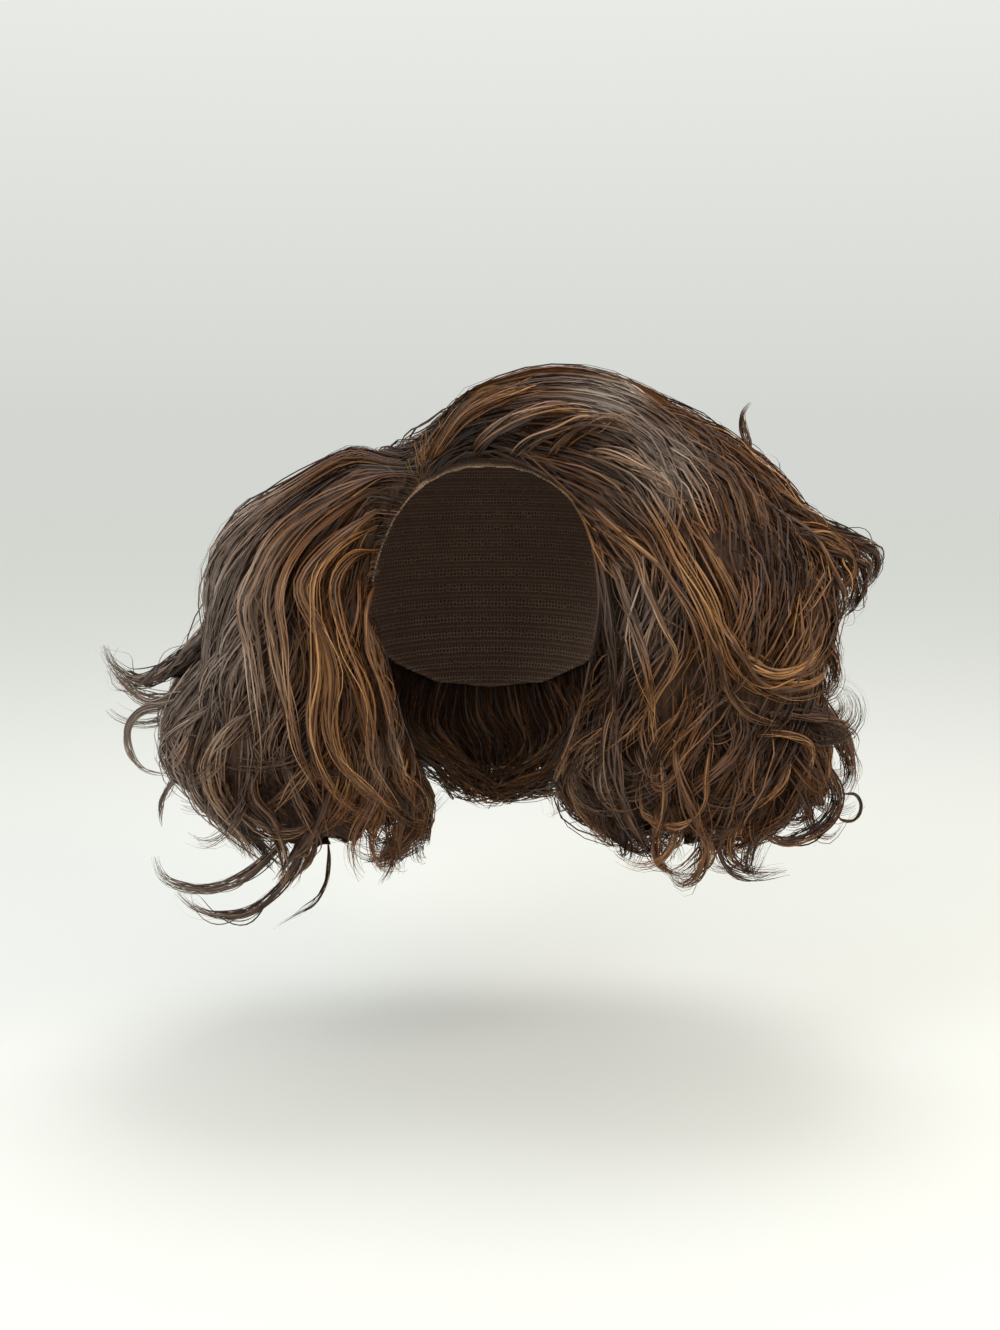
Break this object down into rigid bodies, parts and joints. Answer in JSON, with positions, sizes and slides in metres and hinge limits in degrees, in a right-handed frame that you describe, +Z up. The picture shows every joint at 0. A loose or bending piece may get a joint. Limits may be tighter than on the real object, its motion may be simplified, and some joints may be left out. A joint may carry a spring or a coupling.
{
  "type": "lace front wig",
  "caption": "Lace front wig with a net cap, a lace strip along the hairline, and big brown waves swept from a side parting.",
  "frame": {"origin": "inside top of the cap's crown, where the wig sits on a head", "axes": "+Z up, -Y the way the wearer faces, +X the wearer's left"},
  "size_m": [0.4042, 0.2316, 0.2921],
  "materials": {
    "hair": "wavy brown hair with auburn and golden strands",
    "cap_net": "matte dark brown net",
    "lace": "fine tan lace"
  },
  "bodies": {
    "root": {"lace_front": "lace", "wig_cap": "cap_net", "hair_crown": "hair", "hair_right": "hair", "hair_left": "hair", "hair_back": "hair"}
  },
  "joints": []
}
